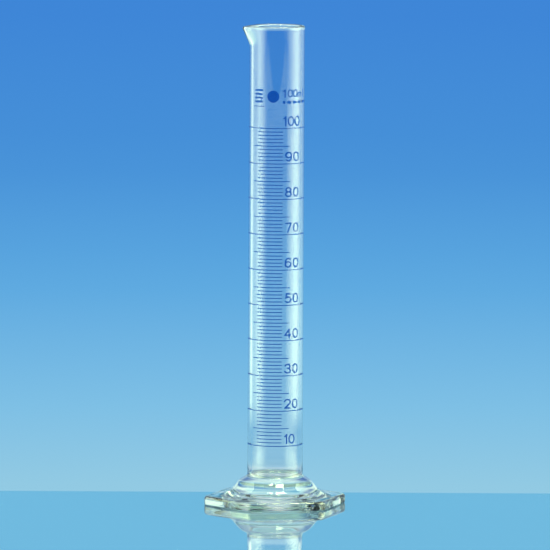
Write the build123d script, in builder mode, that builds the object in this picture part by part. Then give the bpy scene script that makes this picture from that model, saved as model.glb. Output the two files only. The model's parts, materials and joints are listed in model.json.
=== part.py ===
"""Graduated cylinder, 100 ml, tall form: glass tube, hexagonal foot and a fired blue scale.

Origin: centre of the foot where it rests. +Z up, scale towards -Y, pouring lip towards -X.
Sizes in millimetres.
"""

from build123d import *
from math import cos, degrees, pi, radians, sin
import os

# ---- driving sizes ---------------------------------------------------------------------
HEIGHT = 255.9  # foot's underside to the rim
BORE_D = 26.0
WALL = 1.8
CAPACITY_ML = 100
FIRST_LONG_ML = 10
LONG_STEP_ML = 10
SHORT_STEP_ML = 1
BASE_WALL = 3.0  # glass under the liquid
BORE_FLOOR_Z = 13.0  # inner bottom above the table
FLOOR_FILLET = 5.0  # inside corner at the bottom

RIM_ROUND = 0.7  # fire-polished edge, inside and outside
RIM_STEPS = 3  # flats that make up each rounded rim edge

LIP_REACH = 4.0  # pouring lip beyond the tube wall
LIP_DROP = 9.4  # rim down to where the lip leaves the wall
LIP_TIP_R = 1.7
LIP_INNER_TIP_R = 0.8
LIP_WALL = 1.6
LIP_ANGLE = 40.0  # where the lip's straight sides leave the round of the tube

HEX_REACH = 38.2  # axis to the outermost point of a rounded corner
HEX_CORNER_R = 7.0
HEX_TURN = 11.0  # degrees, corner nearest -X turned towards -Y
FLANGE_H = 4.9
FLANGE_TOP_ROUND = 1.6
FLANGE_BASE_ROUND = 0.7
RECESS_R = 20.0
RECESS_DEPTH = 2.2
RECESS_SLOPE = 1.6  # run of the recess's sloping edge
DOME_TOP_Z = 15.0
DOME_NECK_STEP = 0.3  # the dome starts this far inside the tube wall, on its rounded corner
DOME_STEPS = ((2.4, 1.0), (5.7, 3.8), (8.6, 7.1), (11.4, 8.9))  # out from the tube, down
DOME_SPREAD = 15.2  # foot of the dome's curve, out from the tube
PRINT_TOOL_T = 1.0  # print cutters reach this far each side of the tube wall

ENAMEL_T = 0.06  # thickness of the fired print
LINE_W = 0.4
PEN_W = 0.75  # stroke of the numerals
NUMERAL_H = 5.3
NUMERAL_W = 4.0
ONE_W = 2.0  # the figure 1 is narrower
NUMERAL_LIFT = 1.0  # bottom of a numeral above its long line
NUMERAL_START = 18.0  # degrees round from the front, left edge of the first digit
NUMERAL_PITCH = 18.8  # degrees from one digit to the next
ONE_PITCH = 10.5  # degrees from a figure 1 to the next
HUNDRED_START = 12.8
HUNDRED_PITCH = 16.0
LONG_FROM, LONG_TO = -90.0, 90.0  # the long lines run half way round
SHORT_FROM, SHORT_TO = -41.0, 13.0
MEDIUM_FROM, MEDIUM_TO = -52.0, 29.0

CAPACITY_TEXT_H = 4.3
CAPACITY_TEXT_UP = 16.4  # bottom of the text above the capacity line, as for all marks here
CAPACITY_START = 12.2
CAPACITY_PITCH = 12.6
DISC_D = 6.4
DISC_UP, DISC_ANGLE = 16.9, -7.4
BLOCK_ANGLES = (-50.0, -30.0)
BLOCK_ROWS = 4
BLOCK_UP, BLOCK_PITCH, BLOCK_BAR_H = 14.1, 2.0, 1.0
UNDER_BAR_UP, UNDER_BAR_ANGLES = 11.6, (-55.0, -26.0)
DASH_UP, DASH_H = 13.9, 1.4
DASH_SPANS = ((12.5, 17.5), (22.0, 31.0), (35.0, 44.0), (49.0, 58.0), (63.0, 78.0))

# ---- sizes that follow -----------------------------------------------------------------
BORE_R = BORE_D / 2
TUBE_R = BORE_R + WALL
TUBE_BOTTOM_Z = BORE_FLOOR_Z - BASE_WALL
OUTER_CORNER_R = FLOOR_FILLET + WALL
BORE_AREA = pi * BORE_R**2
flat_r = BORE_R - FLOOR_FILLET
CORNER_LOSS = pi * (
    FLOOR_FILLET**2 * (2 * BORE_R - FLOOR_FILLET)
    - flat_r * pi * FLOOR_FILLET**2 / 2
    - 2 * FLOOR_FILLET**3 / 3
)  # volume the rounded inside corner takes from a plain cylinder
LIP_BASE_Z = HEIGHT - LIP_DROP
LIP_TIP_X = TUBE_R + LIP_REACH
HEX_R = HEX_REACH + HEX_CORNER_R * (1 / cos(radians(30)) - 1)
RIM_Z = HEIGHT - RIM_ROUND
NECK_R = TUBE_R - DOME_NECK_STEP
POCKET_TOP_Z = max(DOME_TOP_Z, TUBE_BOTTOM_Z + OUTER_CORNER_R) + WALL


def level(ml):
    """Height of the liquid surface that holds this many millilitres."""
    return BORE_FLOOR_Z + (ml * 1000 + CORNER_LOSS) / BORE_AREA


def facing(angle, z):
    """Plane that touches the tube at this angle from the front, looking outwards."""
    turn = radians(angle)
    return Plane(
        origin=(TUBE_R * sin(turn), -TUBE_R * cos(turn), z),
        x_dir=(cos(turn), sin(turn), 0),
        z_dir=(sin(turn), -cos(turn), 0),
    )


os.makedirs("parts", exist_ok=True)

# ---- the drawn tube --------------------------------------------------------------------


def lip_section(round_r, tip_x, tip_r, z):
    """Round section drawn out to a tip towards -X, with the same four edges at any size."""
    turn = radians(LIP_ANGLE)
    top = (-round_r * cos(turn), round_r * sin(turn))
    low = (-round_r * cos(turn), -round_r * sin(turn))
    tip_top = (-tip_x + tip_r * (1 - cos(turn)), tip_r * sin(turn))
    tip_low = (-tip_x + tip_r * (1 - cos(turn)), -tip_r * sin(turn))
    with BuildSketch(Plane.XY.offset(z)) as section:
        with BuildLine():
            ThreePointArc(low, (round_r, 0), top)
            Line(top, tip_top)
            ThreePointArc(tip_top, (-tip_x, 0), tip_low)
            Line(tip_low, low)
        make_face()
    return section.sketch


def rim_level(step):
    """Height of a rim flat's edge, and how far the rounding has come in from the wall."""
    turn = radians(90 * step / RIM_STEPS)
    return RIM_Z + RIM_ROUND * sin(turn), RIM_ROUND * (1 - cos(turn))


def outer_rim(step):
    z, inset = rim_level(step)
    return lip_section(TUBE_R - inset, LIP_TIP_X - inset, LIP_TIP_R - inset, z)


def inner_rim(step):
    z, inset = rim_level(step)
    tip_x = LIP_TIP_X - LIP_WALL
    return lip_section(BORE_R + inset, tip_x + inset, LIP_INNER_TIP_R + inset, z)


with BuildPart() as glass_tube:
    with BuildSketch(Plane.XZ):
        with BuildLine():
            Line((0, TUBE_BOTTOM_Z), (TUBE_R - OUTER_CORNER_R, TUBE_BOTTOM_Z))
            RadiusArc(
                (TUBE_R - OUTER_CORNER_R, TUBE_BOTTOM_Z),
                (TUBE_R, TUBE_BOTTOM_Z + OUTER_CORNER_R),
                -OUTER_CORNER_R,
            )
            Line((TUBE_R, TUBE_BOTTOM_Z + OUTER_CORNER_R), (TUBE_R, RIM_Z))
            Line((TUBE_R, RIM_Z), (0, RIM_Z))
            Line((0, RIM_Z), (0, TUBE_BOTTOM_Z))
        make_face()
    revolve(axis=Axis.Z)
    add(lip_section(TUBE_R, TUBE_R, TUBE_R * 0.6, LIP_BASE_Z))
    add(outer_rim(0))
    loft(ruled=True)
    for step in range(RIM_STEPS):
        add(outer_rim(step))
        add(outer_rim(step + 1))
        loft(ruled=True)
    with BuildSketch(Plane.XZ):
        with BuildLine():
            Line((0, BORE_FLOOR_Z), (BORE_R - FLOOR_FILLET, BORE_FLOOR_Z))
            RadiusArc(
                (BORE_R - FLOOR_FILLET, BORE_FLOOR_Z),
                (BORE_R, BORE_FLOOR_Z + FLOOR_FILLET),
                -FLOOR_FILLET,
            )
            Line((BORE_R, BORE_FLOOR_Z + FLOOR_FILLET), (BORE_R, RIM_Z))
            Line((BORE_R, RIM_Z), (0, RIM_Z))
            Line((0, RIM_Z), (0, BORE_FLOOR_Z))
        make_face()
    revolve(axis=Axis.Z, mode=Mode.SUBTRACT)
    add(lip_section(BORE_R, BORE_R, BORE_R * 0.6, LIP_BASE_Z + LIP_WALL))
    add(inner_rim(0))
    loft(ruled=True, mode=Mode.SUBTRACT)
    for step in range(RIM_STEPS):
        add(inner_rim(step))
        add(inner_rim(step + 1))
        loft(ruled=True, mode=Mode.SUBTRACT)
glass_tube.part.label = "glass_tube"
export_step(glass_tube.part, "parts/glass_tube.step")

# ---- the pressed foot ------------------------------------------------------------------
with BuildPart() as hex_foot:
    with BuildSketch():
        RegularPolygon(HEX_R, 6, rotation=HEX_TURN)
        fillet(vertices(), HEX_CORNER_R)
    extrude(amount=FLANGE_H)
    fillet(hex_foot.faces().sort_by(Axis.Z)[-1].edges(), FLANGE_TOP_ROUND)
    fillet(hex_foot.faces().sort_by(Axis.Z)[0].edges(), FLANGE_BASE_ROUND)
    with BuildSketch(Plane.XZ):
        with BuildLine():
            Line((0, FLANGE_H / 2), (0, DOME_TOP_Z))
            Line((0, DOME_TOP_Z), (NECK_R, DOME_TOP_Z))
            Spline(
                (NECK_R, DOME_TOP_Z),
                *[(TUBE_R + out, DOME_TOP_Z - down) for out, down in DOME_STEPS],
                (TUBE_R + DOME_SPREAD, FLANGE_H),
            )
            Line((TUBE_R + DOME_SPREAD, FLANGE_H), (TUBE_R + DOME_SPREAD, FLANGE_H / 2))
            Line((TUBE_R + DOME_SPREAD, FLANGE_H / 2), (0, FLANGE_H / 2))
        make_face()
    revolve(axis=Axis.Z)
    with BuildSketch(Plane.XZ):
        with BuildLine():
            Line((0, TUBE_BOTTOM_Z), (TUBE_R - OUTER_CORNER_R, TUBE_BOTTOM_Z))
            RadiusArc(
                (TUBE_R - OUTER_CORNER_R, TUBE_BOTTOM_Z),
                (TUBE_R, TUBE_BOTTOM_Z + OUTER_CORNER_R),
                -OUTER_CORNER_R,
            )
            Line((TUBE_R, TUBE_BOTTOM_Z + OUTER_CORNER_R), (TUBE_R, POCKET_TOP_Z))
            Line((TUBE_R, POCKET_TOP_Z), (0, POCKET_TOP_Z))
            Line((0, POCKET_TOP_Z), (0, TUBE_BOTTOM_Z))
        make_face()
    revolve(axis=Axis.Z, mode=Mode.SUBTRACT)
    with BuildSketch(Plane.XZ):
        with BuildLine():
            Line((0, 0), (0, RECESS_DEPTH))
            Spline(
                (0, RECESS_DEPTH),
                (RECESS_R - RECESS_SLOPE, RECESS_DEPTH * 0.7),
                tangents=((1, 0), (1, -0.15)),
            )
            Line((RECESS_R - RECESS_SLOPE, RECESS_DEPTH * 0.7), (RECESS_R, 0))
            Line((RECESS_R, 0), (0, 0))
        make_face()
    revolve(axis=Axis.Z, mode=Mode.SUBTRACT)
hex_foot.part.label = "hex_foot"
export_step(hex_foot.part, "parts/hex_foot.step")

# ---- the fired scale -------------------------------------------------------------------
with BuildPart() as print_shell:
    with BuildSketch(Plane.XY.offset(BORE_FLOOR_Z)):
        Circle(TUBE_R + ENAMEL_T)
        Circle(TUBE_R, mode=Mode.SUBTRACT)
    extrude(amount=LIP_BASE_Z - BORE_FLOOR_Z)


def arc_line(start, stop, z, thick):
    """Sketch of a printed line seen from above, from one angle to the other."""
    mid = radians((start + stop) / 2)
    a, b = radians(start), radians(stop)
    inner, outer = TUBE_R, TUBE_R + ENAMEL_T
    with BuildSketch(Plane.XY.offset(z - thick / 2)) as strip:
        with BuildLine():
            ThreePointArc(
                (inner * sin(a), -inner * cos(a)),
                (inner * sin(mid), -inner * cos(mid)),
                (inner * sin(b), -inner * cos(b)),
            )
            Line((inner * sin(b), -inner * cos(b)), (outer * sin(b), -outer * cos(b)))
            ThreePointArc(
                (outer * sin(b), -outer * cos(b)),
                (outer * sin(mid), -outer * cos(mid)),
                (outer * sin(a), -outer * cos(a)),
            )
            Line((outer * sin(a), -outer * cos(a)), (inner * sin(a), -inner * cos(a)))
        make_face()
    return strip.sketch


# Numerals are pen strokes. x runs across the digit, y up from its foot, at the pen's centre.
HALF = (NUMERAL_W - PEN_W) / 2
TALL = NUMERAL_H - PEN_W
BOWL = TALL * 0.53


def pen(*points):
    """Stroke along straight lines."""
    with BuildSketch() as stroke:
        with BuildLine():
            Polyline(*points)
        trace(line_width=PEN_W)
    return stroke.sketch


def loop(half_w, half_h, centre_y):
    """Closed oval stroke."""
    with BuildSketch() as ring:
        with Locations((0, centre_y)):
            Ellipse(half_w + PEN_W / 2, half_h + PEN_W / 2)
            Ellipse(half_w - PEN_W / 2, half_h - PEN_W / 2, mode=Mode.SUBTRACT)
    return ring.sketch


def cut_box(x0, x1, y0, y1):
    """Rectangle to take out of the glyph that is being drawn."""
    with Locations(((x0 + x1) / 2, (y0 + y1) / 2)):
        Rectangle(x1 - x0, y1 - y0, mode=Mode.SUBTRACT)


def glyph(name):
    """Face of one character, centred across, standing on y = 0 at the pen's centre."""
    far = 2 * NUMERAL_W
    low_r, top_r = BOWL / 2, (TALL - BOWL) / 2
    with BuildSketch() as face:
        if name == "0":
            add(loop(HALF, TALL / 2, TALL / 2))
        if name == "1":
            stem_x = (ONE_W - PEN_W) / 2
            add(pen((stem_x, -PEN_W / 2), (stem_x, TALL + PEN_W / 2)))
            add(pen((stem_x, TALL * 0.97), (-stem_x, TALL * 0.76)))
        if name == "2":
            add(loop(HALF, TALL * 0.29, TALL * 0.71))
            cut_box(-far, 0, -far, TALL * 0.71)
            cut_box(0, far, -far, TALL * 0.6)
            add(pen((HALF * 0.93, TALL * 0.62), (HALF * 0.45, TALL * 0.42), (-HALF * 0.92, 0)))
            add(pen((-HALF - PEN_W * 0.2, 0), (HALF + PEN_W * 0.3, 0)))
        if name in "38":
            with Locations((0, low_r)):
                Ellipse(HALF + PEN_W / 2, low_r + PEN_W / 2)
            with Locations((0, TALL - top_r)):
                Ellipse(HALF * 0.88 + PEN_W / 2, top_r + PEN_W / 2)
            with Locations((0, low_r)):
                Ellipse(HALF - PEN_W / 2, low_r - PEN_W / 2, mode=Mode.SUBTRACT)
            with Locations((0, TALL - top_r)):
                Ellipse(HALF * 0.88 - PEN_W / 2, top_r - PEN_W / 2, mode=Mode.SUBTRACT)
        if name == "3":
            cut_box(-far, -HALF * 0.2, low_r, TALL - top_r)
        if name == "4":
            add(pen((HALF * 0.5, -PEN_W / 2), (HALF * 0.5, TALL + PEN_W * 0.2)))
            add(pen((HALF * 0.5, TALL), (-HALF, TALL * 0.3), (HALF + PEN_W * 0.4, TALL * 0.3)))
        if name == "5":
            add(loop(HALF, TALL * 0.32, TALL * 0.32))
            cut_box(-far, -HALF * 0.3, TALL * 0.2, TALL * 0.46)
            add(pen((-HALF * 0.72, TALL * 0.46), (-HALF * 0.6, TALL), (HALF * 0.9, TALL)))
        if name in "69":
            add(loop(HALF, TALL / 2, TALL / 2))
            cut_box(0, far, TALL * 0.3, TALL * 0.8)
            add(loop(HALF, TALL * 0.31, TALL * 0.31))
        if name == "7":
            add(pen((-HALF - PEN_W * 0.2, TALL), (HALF, TALL), (-HALF * 0.25, -PEN_W / 2)))
        if name == "m":
            for side in (-1, 1):
                with Locations((side * HALF / 2, TALL * 0.44)):
                    Ellipse(HALF / 2 + PEN_W / 2, TALL * 0.16 + PEN_W / 2)
            for side in (-1, 1):
                with Locations((side * HALF / 2, TALL * 0.44)):
                    Ellipse(HALF / 2 - PEN_W / 2, TALL * 0.16 - PEN_W / 2, mode=Mode.SUBTRACT)
            cut_box(-far, far, -far, TALL * 0.44)
            for x in (-HALF, 0, HALF):
                add(pen((x, -PEN_W / 2), (x, TALL * 0.5)))
        if name == "l":
            add(pen((0, -PEN_W / 2), (0, TALL + PEN_W / 2)))
    if name == "9":
        return Pos(0, TALL, 0) * Rot(0, 0, 180) * face.sketch
    return face.sketch


GLYPHS = {name: glyph(name) for name in "0123456789ml"}


def wrapped_text(text, start, pitch, bottom_z, size):
    """Characters laid round the tube from their left edge, each one facing straight out."""
    with BuildPart() as block:
        left = start
        for name in text:
            wide = ONE_W if name == "1" else NUMERAL_W
            middle = left + degrees(wide * size / 2 / TUBE_R)
            plane = facing(middle, bottom_z + PEN_W / 2 * size)
            with BuildSketch(plane.offset(-PRINT_TOOL_T)):
                add(GLYPHS[name].scale(size))
            extrude(amount=2 * PRINT_TOOL_T)
            left += ONE_PITCH if name == "1" else pitch
        add(print_shell.part, mode=Mode.INTERSECT)
    return block.part


def save(solid, name):
    solid.label = name
    export_step(solid, "parts/" + name + ".step")


for ml in range(FIRST_LONG_ML, CAPACITY_ML + 1, LONG_STEP_ML):
    with BuildPart() as long_line:
        add(arc_line(LONG_FROM, LONG_TO, level(ml), LINE_W))
        extrude(amount=LINE_W)
    save(long_line.part, f"long_line_{ml:03d}")

    numeral_z = level(ml) + LINE_W / 2 + NUMERAL_LIFT
    wide = ml >= 100
    numeral_start = HUNDRED_START if wide else NUMERAL_START
    numeral_pitch = HUNDRED_PITCH if wide else NUMERAL_PITCH
    save(
        wrapped_text(str(ml), numeral_start, numeral_pitch, numeral_z, 1.0),
        f"numeral_{ml:03d}",
    )

for ml in range(FIRST_LONG_ML, CAPACITY_ML, LONG_STEP_ML):
    middle = ml + LONG_STEP_ML // 2
    with BuildPart() as medium_line:
        add(arc_line(MEDIUM_FROM, MEDIUM_TO, level(middle), LINE_W))
        extrude(amount=LINE_W)
    save(medium_line.part, f"medium_line_{middle:03d}")

    with BuildPart() as short_lines:
        for step in range(SHORT_STEP_ML, LONG_STEP_ML, SHORT_STEP_ML):
            if ml + step != middle:
                add(arc_line(SHORT_FROM, SHORT_TO, level(ml + step), LINE_W))
        extrude(amount=LINE_W)
    save(short_lines.part, f"short_lines_{ml:03d}_{ml + LONG_STEP_ML:03d}")

# ---- plain marks above the scale -------------------------------------------------------
full_z = level(CAPACITY_ML)

save(
    wrapped_text(
        str(CAPACITY_ML) + "ml",
        CAPACITY_START,
        CAPACITY_PITCH,
        full_z + CAPACITY_TEXT_UP,
        CAPACITY_TEXT_H / NUMERAL_H,
    ),
    "capacity_mark",
)

with BuildPart() as disc_mark:
    with BuildSketch(facing(DISC_ANGLE, full_z + DISC_UP).offset(-PRINT_TOOL_T)):
        Circle(DISC_D / 2)
    extrude(amount=2 * PRINT_TOOL_T)
    add(print_shell.part, mode=Mode.INTERSECT)
save(disc_mark.part, "disc_mark")

with BuildPart() as block_mark:
    for row in range(BLOCK_ROWS):
        row_z = full_z + BLOCK_UP + row * BLOCK_PITCH
        add(arc_line(*BLOCK_ANGLES, row_z, BLOCK_BAR_H))
    extrude(amount=BLOCK_BAR_H)
save(block_mark.part, "block_mark")

with BuildPart() as under_bar:
    add(arc_line(*UNDER_BAR_ANGLES, full_z + UNDER_BAR_UP, LINE_W))
    extrude(amount=LINE_W)
save(under_bar.part, "under_bar")

with BuildPart() as dash_row:
    for start, stop in DASH_SPANS:
        add(arc_line(start, stop, full_z + DASH_UP, DASH_H))
    extrude(amount=DASH_H)
save(dash_row.part, "dash_row")
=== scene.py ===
"""Looks of a 100 ml graduated cylinder: clear glass tube and foot with a fired blue scale."""

import json
import math

import bmesh
import bpy
from mathutils import Matrix, Vector, noise

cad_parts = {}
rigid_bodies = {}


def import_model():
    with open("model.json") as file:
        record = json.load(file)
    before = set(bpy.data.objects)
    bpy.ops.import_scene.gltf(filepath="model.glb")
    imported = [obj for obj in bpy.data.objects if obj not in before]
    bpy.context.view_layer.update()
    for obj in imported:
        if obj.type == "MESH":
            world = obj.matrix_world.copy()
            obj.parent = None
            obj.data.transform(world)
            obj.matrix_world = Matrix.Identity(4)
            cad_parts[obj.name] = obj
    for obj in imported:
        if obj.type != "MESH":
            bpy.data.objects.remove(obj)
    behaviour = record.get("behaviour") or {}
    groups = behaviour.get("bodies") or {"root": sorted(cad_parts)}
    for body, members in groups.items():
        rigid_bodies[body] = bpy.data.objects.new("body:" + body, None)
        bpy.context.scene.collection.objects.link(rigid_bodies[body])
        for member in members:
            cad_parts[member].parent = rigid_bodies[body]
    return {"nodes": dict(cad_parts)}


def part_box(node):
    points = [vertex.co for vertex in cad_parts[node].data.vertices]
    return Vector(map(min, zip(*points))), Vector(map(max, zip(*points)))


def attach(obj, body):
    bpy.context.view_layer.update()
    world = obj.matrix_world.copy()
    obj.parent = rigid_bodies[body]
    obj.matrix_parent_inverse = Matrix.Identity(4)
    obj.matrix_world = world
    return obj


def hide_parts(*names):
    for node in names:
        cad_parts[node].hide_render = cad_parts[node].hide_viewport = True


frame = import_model()

bl_info = {
    "name": "Graduated Cylinder",
    "version": (1, 0, 0),
    "blender": (4, 5, 0),
    "location": "3D View > Sidebar > Glassware",
    "description": "Builds the glass, the fired scale and a plain studio for a measuring cylinder",
    "category": "Object",
}

TUBE_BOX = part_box("glass_tube")
FOOT_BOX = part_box("hex_foot")
LINE_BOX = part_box("long_line_100")
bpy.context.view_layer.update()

RIM_Z = TUBE_BOX[1].z
PRINT_R = (LINE_BOX[1].x - LINE_BOX[0].x) / 2
PRINT_THICKNESS = 0.00006
NECK_Z = FOOT_BOX[1].z

# ---- shape of the glass, in metres; profile points are (radius, height) ------------------

AROUND = 240
TUBE_ROWS = 46
QUARTER = math.radians(90)

# hollow under the foot, up to the ring that the foot stands on
STAND_RING_R = 0.0220
UNDER_FOOT = (
    (0.0004, 0.0022),
    (0.006, 0.00215),
    (0.012, 0.0020),
    (0.0165, 0.00172),
    (0.0186, 0.0013),
    (0.0197, 0.0004),
    (0.0204, 0.00003),
    (STAND_RING_R, 0.0),
)
UNDER_ROWS_PER_SPAN = 4

# flange: rounded edges, and a top that rises a little towards the dome
BASE_ROUND, BASE_ROUND_STEPS = 0.0007, 6
TOP_ROUND, TOP_ROUND_STEPS = 0.0016, 8
FLANGE_SIDE_STEPS = 5
FLANGE_STEPS = 8
FLANGE_RISE = 0.00012

# dome: heights above the flange, then heights above the neck
DOME_R = 0.0298
DOME_LOW = ((0.0278, 0.0006), (0.0255, 0.0018))
DOME_HIGH = (
    (0.0232, -0.0068),
    (0.0205, -0.0037),
    (0.0188, -0.0019),
    (0.0172, -0.0008),
    (0.0159, -0.0001),
    (0.0151, 0.0006),
)
DOME_ROWS_PER_SPAN = 5
WALL_START = 0.0018

# pouring lip and rim
LIP_ROWS = 26
LIP_WALL = 0.0016
LIP_BLUNT = math.radians(3.2)
LIP_SOFT_START = 0.12
LEAST_LIP = 1.0001
LIP_DROOP_POWER = 1.5
RIM_ROUND, RIM_STEPS = 0.0011, 10
BEAD_DROP, BEAD_SPREAD, BEAD_INSIDE_SHARE = 0.0009, 0.0006, 0.5

# bore floor
FILLET_STEPS, FLOOR_STEPS = 12, 8
FLOOR_RISE = 0.0002

# unevenness of the drawn tube and of the pressed foot
DRAWN_DEPTH, DRAWN_ACROSS, DRAWN_ALONG = 0.000016, 60, 9
PRESSED_DEPTH, PRESSED_SCALE, PRESSED_SHIFT = 0.00010, 95, (3.1, 0.7, 5.2)
PRESSED_TOP, PRESSED_FADE, BASE_CALM = 0.004, 0.006, 0.002

# ---- the stage, in metres and degrees ----------------------------------------------------

STAGE_NAMES = ("softbox", "table", "top_light")
TABLE_SIDE, TABLE_FRONT, TABLE_GAP = 2.5, 3.0, 0.00012

SOFTBOX_HEIGHT, SOFTBOX_COLUMNS = 0.45, 30
SOFTBOX_REACH, BOUNCE_REACH, BOUNCE_SHARE = 0.33, 0.36, 0.35
GLOW_UP = ((0.0, 0.0), (0.04, 0.8), (0.1, 1.0), (1.0, 1.0))
EVEN_GLOW = ((0.0, 1.0), (1.0, 1.0))
# a cloth glows once a ray has mirrored more often than this
FIRST_MIRROR, SECOND_MIRROR = 0.5, 1.5

# glow of the softboxes as (degrees round from the camera, brightness)
LEFT_NEAR = (
    (37, 0.0),
    (42, 0.09),
    (47, 0.18),
    (51, 0.33),
    (56, 0.46),
    (60, 0.64),
    (65, 0.71),
    (75, 0.87),
    (81, 0.76),
    (86, 0.59),
    (92, 0.44),
    (98, 0.37),
    (112, 0.3),
    (128, 0.0),
)
LEFT_FAR = ((116, 0.0), (122, 0.26), (128, 0.4), (136, 0.16), (145, 0.04), (158, 0.0))
RIGHT_NEAR = (
    (40, 0.0),
    (42, 0.08),
    (51, 0.32),
    (60, 0.54),
    (70, 0.79),
    (81, 0.99),
    (86, 1.0),
    (92, 0.87),
    (105, 0.5),
    (112, 0.3),
    (119, 0.1),
    (128, 0.0),
)
RIGHT_FAR = ((116, 0.0), (122, 0.05), (128, 0.05), (139, 0.09), (150, 0.07), (168, 0.0))

# overhead lights as (name, place across, half width), all at one depth and height
TOP_LIGHTS = (("top_light_right", 0.10, 0.08), ("top_light_left", -0.08, 0.045))
TOP_LIGHT_Y, TOP_LIGHT_Z = -0.10, 0.6
CORNERS = ((-1, -1), (1, -1), (1, 1), (-1, 1))
CLOTH_CORNERS = ((0, 0.5), (1, 0.5), (1, 1), (0, 1))

# colour of the backdrop as (degrees above the horizon, colour)
LOW_SKY = (
    (-30.0, (0.50, 0.75, 0.85)),
    (-12.7, (0.50, 0.75, 0.85)),
    (-9.0, (0.28, 0.58, 0.76)),
    (-7.6, (0.296, 0.597, 0.767)),
    (-6.8, (0.205, 0.521, 0.783)),
    (-5.74, (0.107, 0.392, 0.745)),
    (-4.7, (0.063, 0.283, 0.686)),
    (-3.34, (0.048, 0.235, 0.680)),
)
BACK_SKY = LOW_SKY + (
    (-2.6, (0.05, 0.24, 0.68)),
    (-1.5, (0.45, 0.78, 0.95)),
    (5.8, (0.50, 0.82, 0.96)),
    (7.0, (0.15, 0.51, 0.80)),
    (8.8, (0.15, 0.51, 0.80)),
    (10.0, (0.55, 0.88, 1.0)),
    (26.0, (0.75, 0.97, 1.0)),
    (90.0, (1.05, 1.08, 1.0)),
)
SIDE_SKY = LOW_SKY + (
    (0.5, (0.015, 0.12, 0.46)),
    (3.0, (0.60, 0.88, 0.94)),
    (8.0, (0.64, 0.90, 0.95)),
    (9.6, (0.015, 0.12, 0.46)),
    (14.0, (0.012, 0.10, 0.42)),
    (26.0, (0.03, 0.15, 0.50)),
    (40.0, (0.75, 0.92, 1.0)),
    (90.0, (1.05, 1.08, 1.0)),
)
# the back sky starts and is full at these shares of looking straight to the back
BACK_START, BACK_FULL = 0.86, 0.92
# lowest and highest sine of elevation on the sky's ramp
SKY_LOW, SKY_HIGH = -0.5, 1.0

CAMERA_X = -0.0005
SENSOR_WIDTH = 36.0
CLIP_END = 50.0


# ---- sizes and colours a user would change ---------------------------------------------


class GlassBodySettings(bpy.types.PropertyGroup):
    wall: bpy.props.FloatProperty(
        name="Wall", description="Thickness of the tube wall", default=0.0018, unit="LENGTH"
    )
    print_depth: bpy.props.FloatProperty(
        name="Print bed",
        description="How far the glass comes up round the foot of the fired print",
        default=0.00005,
        unit="LENGTH",
    )
    floor_z: bpy.props.FloatProperty(
        name="Bore floor", description="Inside bottom of the tube", default=0.013, unit="LENGTH"
    )
    floor_fillet: bpy.props.FloatProperty(
        name="Floor rounding",
        description="Rounding where the bore meets its floor",
        default=0.005,
        unit="LENGTH",
    )
    lip_drop: bpy.props.FloatProperty(
        name="Lip depth",
        description="From the rim down to where the pouring lip starts",
        default=0.0104,
        unit="LENGTH",
    )
    lip_spread: bpy.props.FloatProperty(
        name="Lip spread",
        description="Angle each side of the lip that is drawn outwards",
        default=math.radians(52),
        unit="ROTATION",
    )
    lip_droop: bpy.props.FloatProperty(
        name="Lip droop", description="Tip of the lip below the rim", default=0.0006, unit="LENGTH"
    )
    bead: bpy.props.FloatProperty(
        name="Rim bead",
        description="How far the fire-polished rim swells out",
        default=0.00005,
        unit="LENGTH",
    )
    flange: bpy.props.FloatProperty(
        name="Flange", description="Height of the hexagonal flange", default=0.0049, unit="LENGTH"
    )
    hex_turn: bpy.props.FloatProperty(
        name="Foot turn",
        description="Turn of the hexagon about the tube's axis",
        default=math.radians(11),
        unit="ROTATION",
    )
    hex_corner: bpy.props.FloatProperty(
        name="Foot corners",
        description="Rounding of the hexagon's corners",
        default=0.007,
        unit="LENGTH",
    )
    hex_reach: bpy.props.FloatProperty(
        name="Foot reach",
        description="Axis to the outermost point of a corner",
        default=0.0382,
        unit="LENGTH",
    )
    tint: bpy.props.FloatVectorProperty(
        name="Glass tint",
        description="Colour of light that has gone deep into the glass",
        default=(0.86, 0.955, 0.55),
        min=0.0,
        max=1.0,
        subtype="COLOR",
    )
    depth: bpy.props.FloatProperty(
        name="Tint strength", description="Strength of the tint per metre", default=7.0
    )
    refraction: bpy.props.FloatProperty(
        name="Refraction", description="Refractive index of the glass", default=1.473
    )


class PrintSettings(bpy.types.PropertyGroup):
    pigment: bpy.props.FloatVectorProperty(
        name="Pigment",
        description="Colour of the fired print",
        default=(0.003, 0.13, 0.60),
        min=0.0,
        max=1.0,
        subtype="COLOR",
    )
    pigment_thin: bpy.props.FloatVectorProperty(
        name="Thin pigment",
        description="Colour where the print is thinner",
        default=(0.008, 0.17, 0.68),
        min=0.0,
        max=1.0,
        subtype="COLOR",
    )


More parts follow.
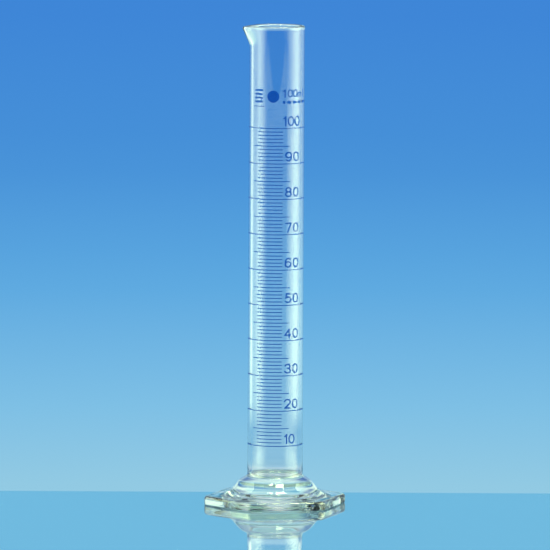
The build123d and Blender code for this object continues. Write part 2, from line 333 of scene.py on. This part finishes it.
class StudioSettings(bpy.types.PropertyGroup):
    floor_colour: bpy.props.FloatVectorProperty(
        name="Floor colour",
        description="Colour of the table top",
        default=(0.30, 0.58, 0.68),
        min=0.0,
        max=1.0,
        subtype="COLOR",
    )
    floor_back: bpy.props.FloatProperty(
        name="Floor back edge",
        description="How far the table top runs behind the cylinder",
        default=0.047,
        unit="LENGTH",
    )
    box_strength: bpy.props.FloatProperty(
        name="Softboxes", description="Brightness of the softboxes beside the glass", default=13.6
    )
    edge_strength: bpy.props.FloatProperty(
        name="Edge glow", description="Brightness of the softboxes behind the glass", default=3.6
    )
    box_colour: bpy.props.FloatVectorProperty(
        name="Softbox colour",
        description="Colour of the light from the softboxes",
        default=(0.86, 1.0, 0.52),
        min=0.0,
        max=1.0,
        subtype="COLOR",
    )
    top_strength: bpy.props.FloatProperty(
        name="Top light strength", description="Brightness of the light overhead", default=30.0
    )
    camera_distance: bpy.props.FloatProperty(
        name="Camera distance",
        description="Camera to the cylinder along the table",
        default=3.5,
        unit="LENGTH",
    )
    camera_height: bpy.props.FloatProperty(
        name="Camera height", description="Camera above the table", default=0.4721, unit="LENGTH"
    )
    camera_pitch: bpy.props.FloatProperty(
        name="Camera pitch",
        description="How far the camera looks down",
        default=math.radians(5.70),
        unit="ROTATION",
    )
    camera_roll: bpy.props.FloatProperty(
        name="Camera roll",
        description="Lean of the camera about its own axis",
        default=math.radians(0.28),
        unit="ROTATION",
    )
    camera_lens: bpy.props.FloatProperty(
        name="Camera lens", description="Focal length in millimetres", default=432.2
    )


# ---- helpers for meshes ----------------------------------------------------------------


def smooth_run(points, per_span):
    """Points on a smooth curve (Catmull-Rom) through these (radius, height) points."""
    run = []
    last = len(points) - 1
    for i in range(last):
        before = Vector(points[max(i - 1, 0)])
        start, stop = Vector(points[i]), Vector(points[i + 1])
        after = Vector(points[min(i + 2, last)])
        for k in range(per_span):
            t = k / per_span
            run.append(
                0.5
                * (
                    2 * start
                    + (stop - before) * t
                    + (2 * before - 5 * start + 4 * stop - after) * t**2
                    + (3 * start - before - 3 * stop + after) * t**3
                )
            )
    run.append(Vector(points[last]))
    return [(p[0], p[1]) for p in run]


def ease(t):
    """0 to 1 with a soft start and stop."""
    t = min(max(t, 0.0), 1.0)
    return t * t * (3 - 2 * t)


class HexFlange:
    """Outline of the rounded hexagon, as a radius for each direction."""

    def __init__(self, reach, corner, turn):
        side = math.cos(math.radians(30))
        self.flat = (reach + corner * (1 / side - 1)) * side
        self.corner = corner
        self.centre = (self.flat - corner) / side
        self.turn = turn

    def radius(self, angle, inset):
        """Axis to the outline moved in by inset, in this direction."""
        sixth = math.radians(60)
        off = abs((angle - self.turn + sixth / 2) % sixth - sixth / 2)
        bend = self.corner - inset
        half = sixth / 2
        meet = math.atan2(bend * math.sin(half), self.centre + bend * math.cos(half))
        if off < meet:
            across = self.centre * math.sin(off)
            return self.centre * math.cos(off) + math.sqrt(bend**2 - across**2)
        return (self.flat - inset) / math.cos(half - off)


class PouringLip:
    """How far the wall is drawn outwards towards -X, by direction and height."""

    def __init__(self, wall_r, tip_x, base_z, spread):
        self.wall_r = wall_r
        self.tip_x = tip_x
        self.base_z = base_z
        self.spread = spread

    def share(self, angle):
        """1 at the middle of the lip, 0 where the lip ends."""
        away = abs(math.remainder(angle - math.pi, 2 * math.pi))
        off = math.sqrt(away**2 + LIP_BLUNT**2) - LIP_BLUNT
        return max(0.0, 1 - off / self.spread)

    def radius(self, angle, z, rim_z):
        """Axis to the wall, which leans out in flat sheets from the tube to the tip."""
        rise = max(0.0, (z - self.base_z) / (rim_z - self.base_z))
        soft = LIP_SOFT_START
        reach = (math.sqrt(rise**2 + soft**2) - soft) / (math.sqrt(1 + soft**2) - soft)
        tip = self.wall_r + (self.tip_x - self.wall_r) * reach
        if tip <= self.wall_r * LEAST_LIP:
            return self.wall_r
        lean = math.acos(self.wall_r / tip)
        return self.wall_r / math.cos(lean * self.share(angle))


def glass_stations(size):
    """Rows of the glass surface, from under the foot, over the rim, to the bore's floor.

    Each row is a function that gives (radius, height) for a direction round the axis.
    """
    flange = HexFlange(size.hex_reach, size.hex_corner, size.hex_turn)
    wall_r = PRINT_R - size.print_depth
    bore_r = PRINT_R - PRINT_THICKNESS - size.wall
    rows = []

    def turned(points):
        for r, z in points:
            rows.append(lambda angle, r=r, z=z: (r, z))

    def hexed(inset, z, circle=0.0, share=0.0):
        """Row on the hexagon, drawn part of the way to a circle."""

        def row(angle):
            r = flange.radius(angle, inset)
            return r + (circle - r) * share, z

        rows.append(row)

    # hollow under the foot, then the ring it stands on
    turned(smooth_run(UNDER_FOOT, UNDER_ROWS_PER_SPAN))
    for k in range(1, FLANGE_STEPS + 1):
        hexed(BASE_ROUND, 0.0, STAND_RING_R, 1 - k / FLANGE_STEPS)

    # edge of the flange
    for k in range(1, BASE_ROUND_STEPS + 1):
        turn = QUARTER * k / BASE_ROUND_STEPS
        hexed(BASE_ROUND * (1 - math.sin(turn)), BASE_ROUND * (1 - math.cos(turn)))
    side = size.flange - TOP_ROUND - BASE_ROUND
    for k in range(1, FLANGE_SIDE_STEPS):
        hexed(0.0, BASE_ROUND + side * k / FLANGE_SIDE_STEPS)
    for k in range(TOP_ROUND_STEPS + 1):
        turn = QUARTER * k / TOP_ROUND_STEPS
        hexed(TOP_ROUND * (1 - math.cos(turn)), size.flange - TOP_ROUND * (1 - math.sin(turn)))

    # flange top, dome and the small fillet where the tube is fused in
    for k in range(1, FLANGE_STEPS):
        share = k / FLANGE_STEPS
        hexed(TOP_ROUND, size.flange + FLANGE_RISE * share, DOME_R, ease(share))
    dome = [(DOME_R, size.flange + FLANGE_RISE)]
    dome += [(r, size.flange + up) for r, up in DOME_LOW]
    dome += [(r, NECK_Z + up) for r, up in DOME_HIGH]
    dome.append((wall_r, NECK_Z + WALL_START))
    turned(smooth_run(dome, DOME_ROWS_PER_SPAN))

    # tube wall
    lip_z = RIM_Z - size.lip_drop
    for k in range(1, TUBE_ROWS + 1):
        z = NECK_Z + WALL_START + (lip_z - NECK_Z - WALL_START) * k / TUBE_ROWS
        turned([(wall_r, z)])

    # pouring lip outside, over the rim, and pouring lip inside
    tip_x = -TUBE_BOX[0].x - size.bead
    outer = PouringLip(wall_r, tip_x, lip_z, size.lip_spread)
    inner = PouringLip(bore_r, tip_x - LIP_WALL, lip_z, size.lip_spread)
    rim_z = RIM_Z - RIM_ROUND

    def droop(angle):
        """How far the lip hangs below the rim."""
        return size.lip_droop * outer.share(angle) ** LIP_DROOP_POWER

    def swell(z):
        """Bead of the fire-polished rim."""
        return size.bead * math.exp(-(((RIM_Z - BEAD_DROP - z) / BEAD_SPREAD) ** 2))

    def lip_outside(angle, z):
        return outer.radius(angle, z, RIM_Z) + swell(z)

    def lip_inside(angle, z):
        return inner.radius(angle, z, RIM_Z) - BEAD_INSIDE_SHARE * swell(z)

    def lip_row(face, k):
        z = lip_z + (rim_z - lip_z) * k / LIP_ROWS
        sink = ease((z - lip_z) / size.lip_drop)
        rows.append(lambda angle: (face(angle, z), z - droop(angle) * sink))

    def rim_row(turn):
        def row(angle):
            out_r, in_r = lip_outside(angle, rim_z), lip_inside(angle, rim_z)
            mid, half = (out_r + in_r) / 2, (out_r - in_r) / 2
            return mid + half * math.cos(turn), rim_z + RIM_ROUND * math.sin(turn) - droop(angle)

        rows.append(row)

    for k in range(1, LIP_ROWS + 1):
        lip_row(lip_outside, k)
    for k in range(1, RIM_STEPS):
        rim_row(math.pi * k / RIM_STEPS)
    for k in range(LIP_ROWS, -1, -1):
        lip_row(lip_inside, k)

    # bore and its rounded floor
    low = size.floor_z + size.floor_fillet
    for k in range(1, TUBE_ROWS + 1):
        turned([(bore_r, lip_z + (low - lip_z) * k / TUBE_ROWS)])
    flat = bore_r - size.floor_fillet
    for k in range(1, FILLET_STEPS + 1):
        turn = QUARTER * k / FILLET_STEPS
        r = bore_r - size.floor_fillet * (1 - math.cos(turn))
        turned([(r, low - size.floor_fillet * math.sin(turn))])
    for k in range(1, FLOOR_STEPS):
        r = flat * (1 - k / FLOOR_STEPS)
        turned([(r, size.floor_z + FLOOR_RISE * (1 - (r / flat) ** 2))])
    return rows


def hand_wander(point, z):
    """Small unevenness of drawn and pressed glass, as a change of radius and height."""
    in_foot = ease((NECK_Z + PRESSED_TOP - z) / PRESSED_FADE)
    along = Vector((point.x * DRAWN_ACROSS, point.y * DRAWN_ACROSS, z * DRAWN_ALONG))
    drawn = noise.noise(along) * DRAWN_DEPTH
    pressed = noise.noise(point * PRESSED_SCALE + Vector(PRESSED_SHIFT)) * PRESSED_DEPTH
    calm = ease(z / BASE_CALM)
    return drawn * (1 - in_foot), pressed * in_foot * calm


def build_glass(size):
    """One closed surface for tube and foot, which are fused without a seam."""
    mesh = bpy.data.meshes.new("glass_body")
    bm = bmesh.new()
    rings = []
    for row in glass_stations(size):
        ring = []
        for i in range(AROUND):
            angle = 2 * math.pi * i / AROUND
            r, z = row(angle)
            point = Vector((r * math.cos(angle), r * math.sin(angle), z))
            out, up = hand_wander(point, z)
            r += out
            z += up
            ring.append(bm.verts.new((r * math.cos(angle), r * math.sin(angle), z)))
        rings.append(ring)
    for below, above in zip(rings, rings[1:]):
        for i in range(AROUND):
            j = (i + 1) % AROUND
            bm.faces.new((below[i], below[j], above[j], above[i]))
    low = bm.verts.new((0, 0, sum(v.co.z for v in rings[0]) / AROUND))
    high = bm.verts.new((0, 0, sum(v.co.z for v in rings[-1]) / AROUND))
    for i in range(AROUND):
        j = (i + 1) % AROUND
        bm.faces.new((low, rings[0][j], rings[0][i]))
        bm.faces.new((high, rings[-1][i], rings[-1][j]))
    for face in bm.faces:
        face.smooth = True
    bm.normal_update()
    bm.to_mesh(mesh)
    bm.free()
    body = bpy.data.objects.new("glass_body", mesh)
    bpy.context.scene.collection.objects.link(body)
    return body


# ---- helpers for materials -------------------------------------------------------------


def new_material(name):
    """Empty node material with its output, ready for a shader."""
    material = bpy.data.materials.new(name)
    material.use_nodes = True
    material.node_tree.nodes.clear()
    return material, material.node_tree.nodes, material.node_tree.links


def dial(node, values):
    """Sets these inputs of a node to plain values."""
    for name, value in values.items():
        node.inputs[name].default_value = value


def multiply(nodes, links, first, second):
    """Product of two sockets, or of a socket and a number."""
    node = nodes.new("ShaderNodeMath")
    node.operation = "MULTIPLY"
    links.new(first, node.inputs[0])
    if isinstance(second, float):
        node.inputs[1].default_value = second
    else:
        links.new(second, node.inputs[1])
    return node.outputs[0]


def cloud_group():
    """Shared effect: soft cloudy mask between 0 and 1, stretched along the tube."""
    name = "Soft Cloud"
    if name in bpy.data.node_groups:
        return bpy.data.node_groups[name]
    tree = bpy.data.node_groups.new(name, "ShaderNodeTree")
    tree.interface.new_socket("Scale", in_out="INPUT", socket_type="NodeSocketFloat")
    tree.interface.new_socket("Stretch", in_out="INPUT", socket_type="NodeSocketFloat")
    tree.interface.new_socket("Mask", in_out="OUTPUT", socket_type="NodeSocketFloat")
    nodes, links = tree.nodes, tree.links
    entry = nodes.new("NodeGroupInput")
    leave = nodes.new("NodeGroupOutput")
    where = nodes.new("ShaderNodeTexCoord")
    split = nodes.new("ShaderNodeSeparateXYZ")
    join = nodes.new("ShaderNodeCombineXYZ")
    cloud = nodes.new("ShaderNodeTexNoise")
    dial(cloud, {"Detail": 3.0})
    links.new(where.outputs["Object"], split.inputs[0])
    squeezed = multiply(nodes, links, split.outputs["Z"], entry.outputs["Stretch"])
    links.new(split.outputs["X"], join.inputs["X"])
    links.new(split.outputs["Y"], join.inputs["Y"])
    links.new(squeezed, join.inputs["Z"])
    links.new(join.outputs[0], cloud.inputs["Vector"])
    links.new(entry.outputs["Scale"], cloud.inputs["Scale"])
    links.new(cloud.outputs["Fac"], leave.inputs["Mask"])
    return tree


def place_cloud(nodes, scale, stretch):
    """Mask of the shared cloud at this fineness and stretch."""
    node = nodes.new("ShaderNodeGroup")
    node.node_tree = cloud_group()
    dial(node, {"Scale": scale, "Stretch": stretch})
    return node.outputs["Mask"]


def spread(nodes, links, source, low, high):
    """Value that runs from low to high over the middle of the source's range."""
    node = nodes.new("ShaderNodeMapRange")
    dial(node, {"From Min": 0.3, "From Max": 0.7, "To Min": low, "To Max": high})
    links.new(source, node.inputs["Value"])
    return node.outputs["Result"]


def grain(nodes, links, mask, shader, strength, distance):
    """Fine relief from a mask, on the shader's normal."""
    bump = nodes.new("ShaderNodeBump")
    dial(bump, {"Strength": strength, "Distance": distance})
    links.new(mask, bump.inputs["Height"])
    links.new(bump.outputs["Normal"], shader.inputs["Normal"])


def clear_glass(size):
    """Borosilicate glass with faint draw lines and a green-yellow depth."""
    material, nodes, links = new_material("Clear borosilicate glass")
    out = nodes.new("ShaderNodeOutputMaterial")
    shader = nodes.new("ShaderNodeBsdfPrincipled")
    dial(
        shader,
        {
            "Base Color": (0.93, 0.937, 0.965, 1.0),
            "Metallic": 0.0,
            "Transmission Weight": 1.0,
            "IOR": size.refraction,
        },
    )
    smudge = place_cloud(nodes, scale=38.0, stretch=0.4)
    rough = spread(nodes, links, smudge, low=0.0, high=0.012)
    links.new(rough, shader.inputs["Roughness"])
    draw_lines = place_cloud(nodes, scale=420.0, stretch=0.02)
    grain(nodes, links, draw_lines, shader, strength=0.06, distance=0.00002)
    depth = nodes.new("ShaderNodeVolumeAbsorption")
    dial(depth, {"Color": (*size.tint, 1.0), "Density": size.depth})
    links.new(shader.outputs["BSDF"], out.inputs["Surface"])
    links.new(depth.outputs["Volume"], out.inputs["Volume"])
    return material


def fired_enamel(size):
    """Fired blue enamel: uneven pigment, satin, with a fine grain."""
    material, nodes, links = new_material("Fired blue enamel")
    out = nodes.new("ShaderNodeOutputMaterial")
    shader = nodes.new("ShaderNodeBsdfPrincipled")
    dial(shader, {"Specular IOR Level": 0.3})
    patch = place_cloud(nodes, scale=900.0, stretch=1.0)
    tone = nodes.new("ShaderNodeMix")
    tone.data_type = "RGBA"
    dial(tone, {"A": (*size.pigment, 1.0), "B": (*size.pigment_thin, 1.0)})
    links.new(spread(nodes, links, patch, low=0.0, high=1.0), tone.inputs["Factor"])
    links.new(tone.outputs["Result"], shader.inputs["Base Color"])
    rough = spread(nodes, links, patch, low=0.45, high=0.62)
    links.new(rough, shader.inputs["Roughness"])
    speckle = place_cloud(nodes, scale=4200.0, stretch=1.0)
    grain(nodes, links, speckle, shader, strength=0.25, distance=0.00002)
    links.new(shader.outputs["BSDF"], out.inputs["Surface"])
    return material


def table_top(size):
    """Plain pale polished table top."""
    material, nodes, links = new_material("Pale table top")
    out = nodes.new("ShaderNodeOutputMaterial")
    shader = nodes.new("ShaderNodeBsdfPrincipled")
    dial(
        shader,
        {
            "Base Color": (*size.floor_colour, 1.0),
            "Roughness": 0.03,
            "IOR": 1.6,
            "Coat Weight": 1.0,
            "Coat Roughness": 0.02,
        },
    )
    links.new(shader.outputs["BSDF"], out.inputs["Surface"])
    return material


def ramp_of(nodes, links, source, stops):
    """Colour read along a source from (place, colour) pairs."""
    ramp = nodes.new("ShaderNodeValToRGB")
    marks = ramp.color_ramp.elements
    marks[0].position, marks[0].color = stops[0][0], (*stops[0][1], 1.0)
    marks[1].position, marks[1].color = stops[-1][0], (*stops[-1][1], 1.0)
    for place, colour in stops[1:-1]:
        marks.new(place).color = (*colour, 1.0)
    links.new(source, ramp.inputs["Fac"])
    return ramp.outputs["Color"]


def softbox_cloth(name, strength, colour, across, bounces=FIRST_MIRROR):
    """Cloth of a softbox, seen only after more mirror bounces than this."""
    material, nodes, links = new_material(name)
    out = nodes.new("ShaderNodeOutputMaterial")
    glow = nodes.new("ShaderNodeEmission")
    dial(glow, {"Color": (*colour, 1.0)})
    place = nodes.new("ShaderNodeTexCoord")
    split = nodes.new("ShaderNodeSeparateXYZ")
    links.new(place.outputs["UV"], split.inputs[0])
    wide, high = (
        ramp_of(nodes, links, split.outputs[axis], [(at, (value,) * 3) for at, value in stops])
        for axis, stops in (("X", across), ("Y", GLOW_UP))
    )
    power = multiply(nodes, links, multiply(nodes, links, wide, high), strength)
    path = nodes.new("ShaderNodeLightPath")
    mirrored = nodes.new("ShaderNodeMath")
    mirrored.operation = "GREATER_THAN"
    mirrored.inputs[1].default_value = bounces
    links.new(path.outputs["Glossy Depth"], mirrored.inputs[0])
    links.new(multiply(nodes, links, power, mirrored.outputs[0]), glow.inputs["Strength"])
    clear = nodes.new("ShaderNodeBsdfTransparent")
    laid = nodes.new("ShaderNodeAddShader")
    links.new(clear.outputs["BSDF"], laid.inputs[0])
    links.new(glow.outputs["Emission"], laid.inputs[1])
    links.new(laid.outputs["Shader"], out.inputs["Surface"])
    return material


# ---- operators: one for each piece or group, one for the stage -------------------------


class GLASSWARE_OT_glass_body(bpy.types.Operator):
    """Builds the glass tube and foot as one fused body"""

    bl_idname = "glassware.glass_body"
    bl_label = "Glass body"

    def execute(self, context):
        size = context.scene.glass_body_settings
        body = build_glass(size)
        body.data.materials.append(clear_glass(size))
        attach(body, "root")
        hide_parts("glass_tube", "hex_foot")
        return {"FINISHED"}


class GLASSWARE_OT_fired_scale(bpy.types.Operator):
    """Gives the lines, numerals and marks their fired enamel"""

    bl_idname = "glassware.fired_scale"
    bl_label = "Fired scale"

    def execute(self, context):
        enamel = fired_enamel(context.scene.print_settings)
        for name, node in frame["nodes"].items():
            if name in ("glass_tube", "hex_foot"):
                continue
            for place in node.material_slots:
                place.material = enamel
        return {"FINISHED"}


class GLASSWARE_OT_studio(bpy.types.Operator):
    """Sets the plain table, the soft light and the camera"""

    bl_idname = "glassware.studio"
    bl_label = "Studio"

    def execute(self, context):
        size = context.scene.studio_settings
        scene = context.scene
        scene.view_settings.view_transform = "Standard"
        self.table(scene, size)
        self.softboxes(scene, size)
        self.backdrop(scene)
        self.camera(scene, size)
        return {"FINISHED"}

    def table(self, scene, size):
        """Table top, just below the foot, with its back edge close behind the cylinder."""
        mesh = bpy.data.meshes.new("table_top")
        corners = [
            (-TABLE_SIDE, -TABLE_FRONT, -TABLE_GAP),
            (TABLE_SIDE, -TABLE_FRONT, -TABLE_GAP),
            (TABLE_SIDE, size.floor_back, -TABLE_GAP),
            (-TABLE_SIDE, size.floor_back, -TABLE_GAP),
        ]
        mesh.from_pydata(corners, [], [(0, 1, 2, 3)])
        mesh.materials.append(table_top(size))
        table = bpy.data.objects.new("table_top", mesh)
        scene.collection.objects.link(table)

    def softboxes(self, scene, size):
        """A tall curved softbox on each side and two small lights overhead."""
        self.curved_box(scene, "softbox_left", -1, LEFT_NEAR, LEFT_FAR, size)
        self.curved_box(scene, "softbox_right", 1, RIGHT_NEAR, RIGHT_FAR, size)
        cloth = softbox_cloth("Top light cloth", size.top_strength, size.box_colour, EVEN_GLOW)
        for name, across, half in TOP_LIGHTS:
            corners = [
                (across + half * x, half * y + TOP_LIGHT_Y, TOP_LIGHT_Z) for x, y in CORNERS
            ]
            self.panel(scene, name, corners, [(0, 1, 2, 3)], CLOTH_CORNERS, cloth)

    def curved_box(self, scene, name, side, near, far, size):
        """Near and far cloth of one softbox, each with a fainter copy that the table mirrors."""
        for part, glow, strength in (
            ("near", near, size.box_strength),
            ("far", far, size.edge_strength),
        ):
            start, stop = glow[0][0], glow[-1][0]
            across = [((angle - start) / (stop - start), value) for angle, value in glow]
            title = name + "_" + part
            cloth = softbox_cloth(title + "_cloth", strength, size.box_colour, across)
            panel = self.curved_panel(scene, title, side, SOFTBOX_REACH, (start, stop), cloth)
            panel.visible_transmission = part == "far"
            title += "_bounce"
            faint = BOUNCE_SHARE * strength
            cloth = softbox_cloth(
                title + "_cloth", faint, size.box_colour, across, SECOND_MIRROR
            )
            self.curved_panel(
                scene, title, side, BOUNCE_REACH, (start, stop), cloth, "table_top"
            )

    def curved_panel(self, scene, name, side, reach, ends, cloth, only=""):
        """Upright panel on an arc round the cylinder, between two angles from the camera."""
        points, faces, places = [], [], []
        for k in range(SOFTBOX_COLUMNS + 1):
            share = k / SOFTBOX_COLUMNS
            turn = math.radians(ends[0] + (ends[1] - ends[0]) * share)
            x, y = side * reach * math.sin(turn), -reach * math.cos(turn)
            points += [(x, y, 0.0), (x, y, SOFTBOX_HEIGHT)]
            places += [(share, 0.0), (share, 1.0)]
        for k in range(SOFTBOX_COLUMNS):
            faces.append((2 * k, 2 * k + 2, 2 * k + 3, 2 * k + 1))
        return self.panel(scene, name, points, faces, places, cloth, only)

    def panel(self, scene, name, points, faces, places, cloth, only=""):
        """Glowing panel that only mirrors see; places are each point's spot on the cloth."""
        mesh = bpy.data.meshes.new(name)
        mesh.from_pydata(points, [], faces)
        layer = mesh.uv_layers.new(name="cloth")
        for loop in mesh.loops:
            layer.data[loop.index].uv = places[loop.vertex_index]
        mesh.materials.append(cloth)
        panel = bpy.data.objects.new(name, mesh)
        scene.collection.objects.link(panel)
        panel.visible_camera = False
        panel.visible_diffuse = False
        panel.visible_volume_scatter = False
        panel.visible_shadow = False
        panel.light_linking.receiver_collection = self.lit(scene, only)
        return panel

    def lit(self, scene, only):
        """What a panel lights: the glassware, or only the piece that is named."""
        name = "lit_" + (only or "glassware")
        if name not in bpy.data.collections:
            lit = bpy.data.collections.new(name)
            for piece in scene.objects:
                ware = piece.type == "MESH" and not piece.name.startswith(STAGE_NAMES)
                if piece.name == only or (ware and not only):
                    lit.objects.link(piece)
        return bpy.data.collections[name]

    def backdrop(self, scene):
        """Blue card behind the table, pale low down, with darker sides."""
        world = bpy.data.worlds.new("studio")
        scene.world = world
        world.use_nodes = True
        nodes, links = world.node_tree.nodes, world.node_tree.links
        nodes.clear()
        out = nodes.new("ShaderNodeOutputWorld")
        sky = nodes.new("ShaderNodeBackground")
        where = nodes.new("ShaderNodeTexCoord")
        split = nodes.new("ShaderNodeSeparateXYZ")
        links.new(where.outputs["Generated"], split.inputs[0])
        facing = nodes.new("ShaderNodeMapRange")
        dial(facing, {"From Min": BACK_START, "From Max": BACK_FULL})
        mix = nodes.new("ShaderNodeMix")
        mix.data_type = "RGBA"
        links.new(split.outputs["Y"], facing.inputs["Value"])
        links.new(facing.outputs["Result"], mix.inputs["Factor"])
        links.new(self.sky_band(nodes, links, split, SIDE_SKY), mix.inputs["A"])
        links.new(self.sky_band(nodes, links, split, BACK_SKY), mix.inputs["B"])
        links.new(mix.outputs["Result"], sky.inputs["Color"])
        links.new(sky.outputs["Background"], out.inputs["Surface"])

    def sky_band(self, nodes, links, split, bands):
        """Colour of the backdrop by height above the horizon."""
        height = nodes.new("ShaderNodeMapRange")
        dial(height, {"From Min": SKY_LOW, "From Max": SKY_HIGH})
        links.new(split.outputs["Z"], height.inputs["Value"])
        span = SKY_HIGH - SKY_LOW
        stops = [((math.sin(math.radians(up)) - SKY_LOW) / span, colour) for up, colour in bands]
        return ramp_of(nodes, links, height.outputs["Result"], stops)

    def camera(self, scene, size):
        """Long-lens camera in front of the cylinder, looking slightly down."""
        lens = bpy.data.cameras.new("camera")
        lens.lens = size.camera_lens
        lens.sensor_width = SENSOR_WIDTH
        lens.clip_end = CLIP_END
        camera = bpy.data.objects.new("camera", lens)
        scene.collection.objects.link(camera)
        place = Matrix.Translation((CAMERA_X, -size.camera_distance, size.camera_height))
        pitch = Matrix.Rotation(QUARTER - size.camera_pitch, 4, "X")
        roll = Matrix.Rotation(size.camera_roll, 4, "Z")
        camera.matrix_world = place @ pitch @ roll
        scene.camera = camera


class GLASSWARE_PT_panel(bpy.types.Panel):
    """Lists the steps that build the cylinder"""

    bl_idname = "GLASSWARE_PT_panel"
    bl_label = "Graduated Cylinder"
    bl_space_type = "VIEW_3D"
    bl_region_type = "UI"
    bl_category = "Glassware"

    def draw(self, context):
        layout = self.layout
        for step in OPERATORS:
            layout.operator(step.bl_idname)
        for title, group, place in SETTINGS:
            layout.label(text=title)
            for name in group.__annotations__:
                layout.prop(getattr(context.scene, place), name)


# each group of settings with its title and its place on the scene
SETTINGS = (
    ("Glass body", GlassBodySettings, "glass_body_settings"),
    ("Fired scale", PrintSettings, "print_settings"),
    ("Studio", StudioSettings, "studio_settings"),
)
OPERATORS = (GLASSWARE_OT_glass_body, GLASSWARE_OT_fired_scale, GLASSWARE_OT_studio)
CLASSES = (*(group for _, group, _ in SETTINGS), *OPERATORS, GLASSWARE_PT_panel)


def register():
    for made in CLASSES:
        bpy.utils.register_class(made)
    for _, group, place in SETTINGS:
        setattr(bpy.types.Scene, place, bpy.props.PointerProperty(type=group))


def unregister():
    for _, _, place in SETTINGS:
        delattr(bpy.types.Scene, place)
    for made in reversed(CLASSES):
        bpy.utils.unregister_class(made)


def main():
    register()
    bpy.ops.glassware.glass_body()
    bpy.ops.glassware.fired_scale()
    bpy.ops.glassware.studio()


if __name__ == "__main__":
    main()
